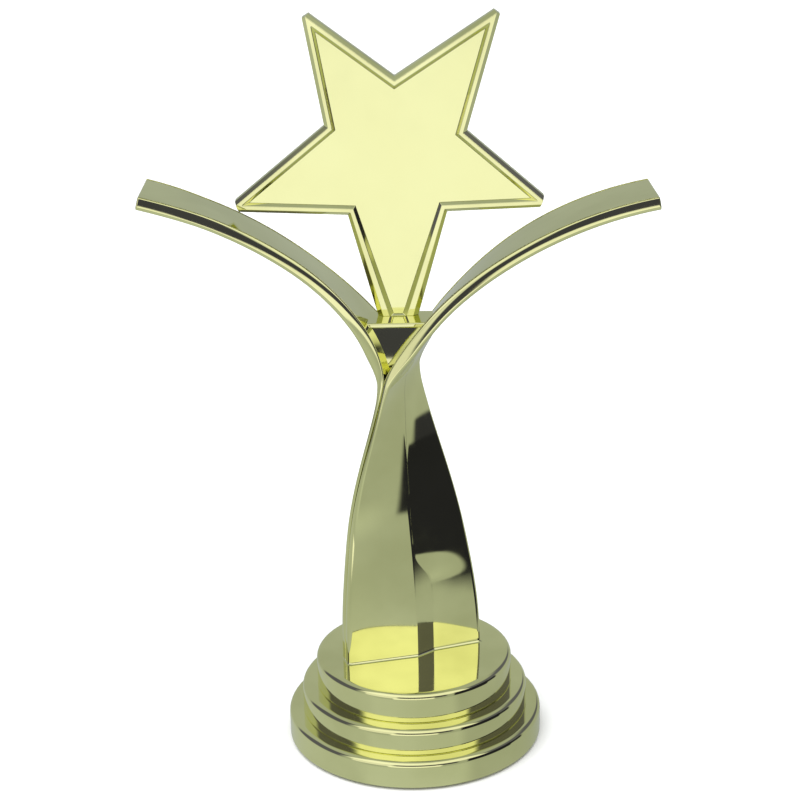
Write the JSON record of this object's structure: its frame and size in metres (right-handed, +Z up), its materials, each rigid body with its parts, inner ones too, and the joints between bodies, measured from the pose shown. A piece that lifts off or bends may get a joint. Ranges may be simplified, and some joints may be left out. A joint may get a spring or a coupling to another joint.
{
  "type": "star trophy",
  "caption": "Gold-plated trophy: a framed star between two upswept arms that twist together into a tapering column on a round, three-tier base.",
  "frame": {"origin": "centre of the round underside, on the surface that the trophy stands on", "axes": "+Z up, the star faces -Y, +X to the right as seen from the front"},
  "size_m": [0.163, 0.086, 0.2456],
  "materials": {
    "gold_plate": "pale gold plating, mirror polished, on cast zinc",
    "gold_panel": "pale gold plating on a flat polished panel",
    "steel": "zinc-plated steel fixings",
    "iron": "rough cast",
    "brass": "turned",
    "felt": "black felt"
  },
  "bodies": {
    "root": {"lower_tier": "gold_plate", "middle_tier": "gold_plate", "upper_tier": "gold_plate", "felt_pad": "felt", "bottom_plate": "steel", "ballast_ring": "iron", "tie_bolt": "steel", "plain_washer": "steel", "spring_washer": "steel", "spacer_sleeves": "steel", "foot_insert": "brass", "foot_pins": "steel", "right_ribbon": "gold_plate", "left_ribbon": "gold_plate", "ribbon_dowels": "steel", "bridge_block": "gold_plate", "bridge_cap": "gold_plate", "bridge_dowels": "steel", "star_frame": "gold_plate", "star_panel": "gold_panel", "star_back_plate": "gold_plate", "star_pins": "steel"}
  },
  "joints": []
}
